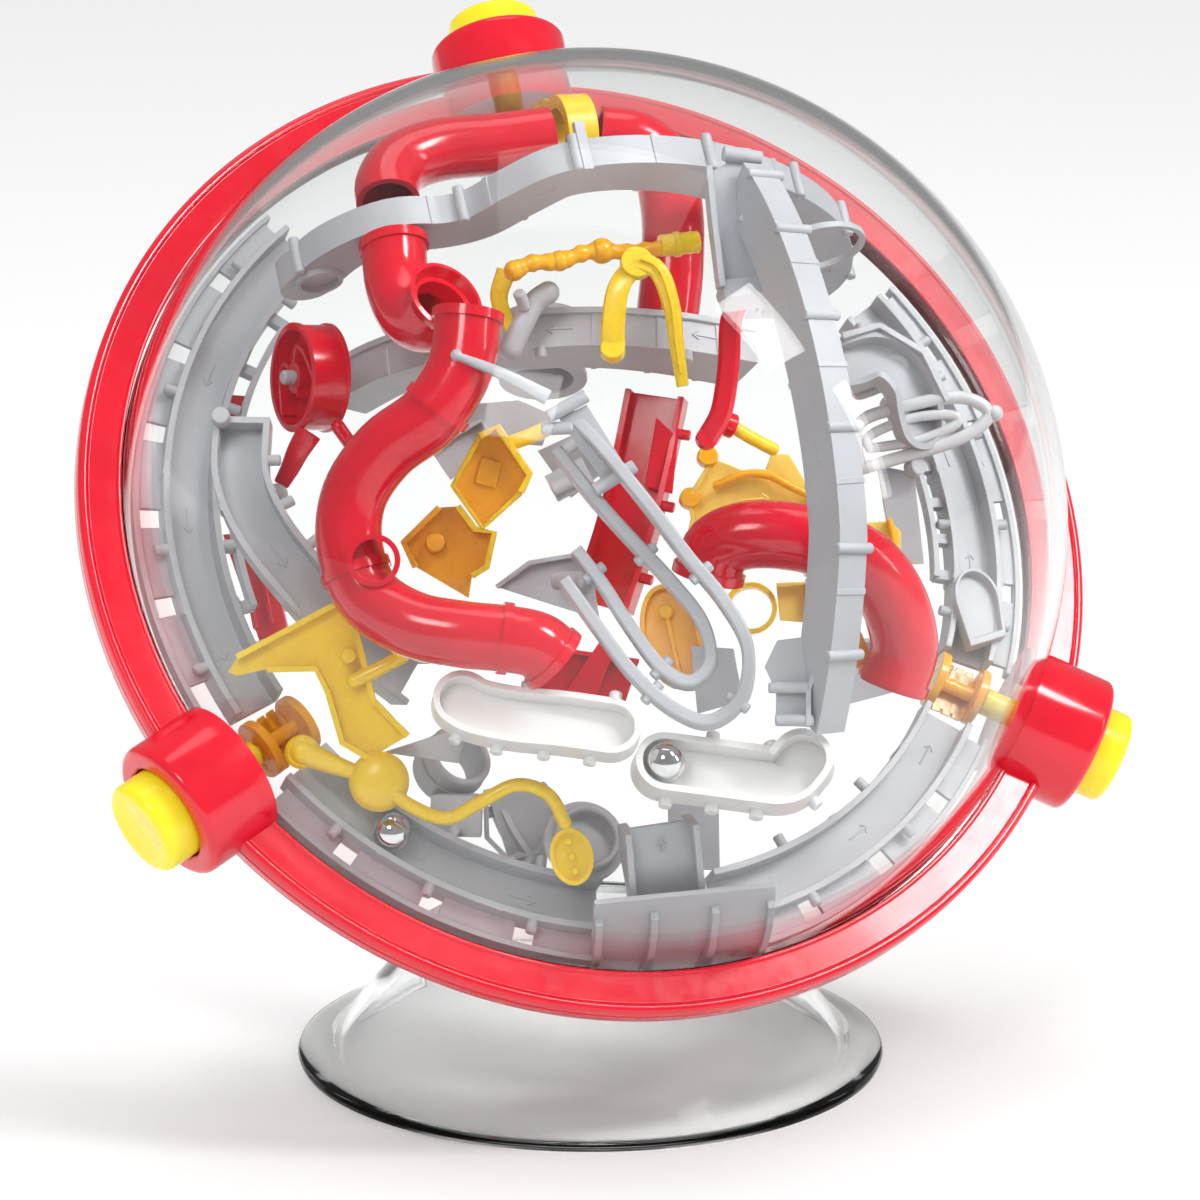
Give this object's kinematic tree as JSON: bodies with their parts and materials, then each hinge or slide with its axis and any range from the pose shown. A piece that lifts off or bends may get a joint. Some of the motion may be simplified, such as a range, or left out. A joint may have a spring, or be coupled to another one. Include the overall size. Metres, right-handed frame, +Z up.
{
  "type": "tilt maze game",
  "caption": "Clear ball full of raised tracks, clamped by a red ring with twist knobs that turn the gates inside; it rests on a clear stand and is tilted to roll a steel ball.",
  "frame": {"origin": "centre of the bounding box at the table, under the ball, where the stand rests", "axes": "+Z up, +X to the right of a player who looks at the front, -Y towards that player; the ring leans back at the top"},
  "size_m": [0.2245, 0.203, 0.2226],
  "materials": {
    "clear_plastic": "clear, polished",
    "red_plastic": "glossy",
    "yellow_plastic": "satin gloss",
    "orange_plastic": "satin gloss",
    "grey_plastic": "satin gloss",
    "white_plastic": "milky, satin gloss",
    "polished_steel": "polished"
  },
  "bodies": {
    "stand": {"stand": "clear_plastic"},
    "maze_ball": {"arch_tube": "red_plastic", "bumpy_rail": "orange_plastic", "centre_drum": "grey_plastic", "end_cup": "grey_plastic", "front_ring": "red_plastic", "front_shell": "clear_plastic", "hook_tube": "red_plastic", "left_channel": "grey_plastic", "left_hub": "red_plastic", "loop_pointer": "grey_plastic", "loop_rail_inner": "grey_plastic", "loop_rail_outer": "grey_plastic", "lower_shelf": "grey_plastic", "lower_socket": "grey_plastic", "meridian_track": "grey_plastic", "middle_track": "grey_plastic", "orange_oval": "orange_plastic", "rear_ring": "red_plastic", "rear_shell": "clear_plastic", "red_chute": "red_plastic", "red_fin": "red_plastic", "red_panel": "red_plastic", "red_strip": "red_plastic", "right_hub": "red_plastic", "rim_track_left": "grey_plastic", "rim_track_lower_left": "grey_plastic", "rim_track_lower_right": "grey_plastic", "rim_track_right": "grey_plastic", "ring_screw_1": "polished_steel", "ring_screw_2": "polished_steel", "ring_screw_3": "polished_steel", "s_tube": "red_plastic", "spinner_pin": "grey_plastic", "start_channel": "grey_plastic", "strip_pin": "yellow_plastic", "top_hub": "red_plastic", "top_plate": "grey_plastic", "top_trough": "grey_plastic", "white_tray_lower": "white_plastic", "white_tray_upper": "white_plastic", "wire_loop": "white_plastic", "wishbone": "yellow_plastic", "yellow_deck": "yellow_plastic", "yellow_hoop": "yellow_plastic", "yellow_hopper": "orange_plastic", "yellow_plate": "yellow_plastic", "yellow_spoon": "yellow_plastic", "yellow_step": "orange_plastic"},
    "top_knob_group": {"top_knob": "yellow_plastic", "top_gate": "yellow_plastic", "elbow_tube": "red_plastic", "drop_tube": "red_plastic"},
    "left_knob_group": {"left_knob": "yellow_plastic", "left_gate": "orange_plastic"},
    "right_knob_group": {"right_knob": "yellow_plastic", "right_gate": "orange_plastic"},
    "wheel": {"spinner_wheel": "red_plastic"},
    "tray_ball": {"steel_ball_1": "polished_steel"},
    "rim_ball": {"steel_ball_2": "polished_steel"}
  },
  "joints": [
    {"name": "ball_lift", "type": "slide", "parent": "stand", "child": "maze_ball", "axis": [0, 0, 1], "range_m": [0, 0.12]},
    {"name": "top_knob_turn", "type": "hinge", "parent": "maze_ball", "child": "top_knob_group", "pos_m": [0.00279, 0.06071, 0.19781], "axis": [0.0279, 0.6071, 0.7941], "range_deg": [0, 55]},
    {"name": "left_knob_turn", "type": "hinge", "parent": "maze_ball", "child": "left_knob_group", "pos_m": [-0.08797, -0.02889, 0.08062], "axis": [-0.8796, -0.2889, -0.3778], "continuous": true},
    {"name": "right_knob_turn", "type": "hinge", "parent": "maze_ball", "child": "right_knob_group", "pos_m": [0.08517, -0.03183, 0.07677], "axis": [0.8517, -0.3183, -0.4163], "continuous": true},
    {"name": "wheel_spin", "type": "hinge", "parent": "maze_ball", "child": "wheel", "pos_m": [-0.0615, 0.00053, 0.1545], "axis": [-0.9844, -0.1399, 0.107], "continuous": true},
    {"name": "tray_ball_roll", "type": "slide", "parent": "maze_ball", "child": "tray_ball", "axis": [0.9577, -0.2409, -0.1574], "range_m": [0, 0.016]},
    {"name": "rim_ball_roll", "type": "hinge", "parent": "maze_ball", "child": "rim_ball", "pos_m": [0, 0, 0.1184], "axis": [0, -0.7944, 0.6074], "range_deg": [-11, 26]}
  ]
}
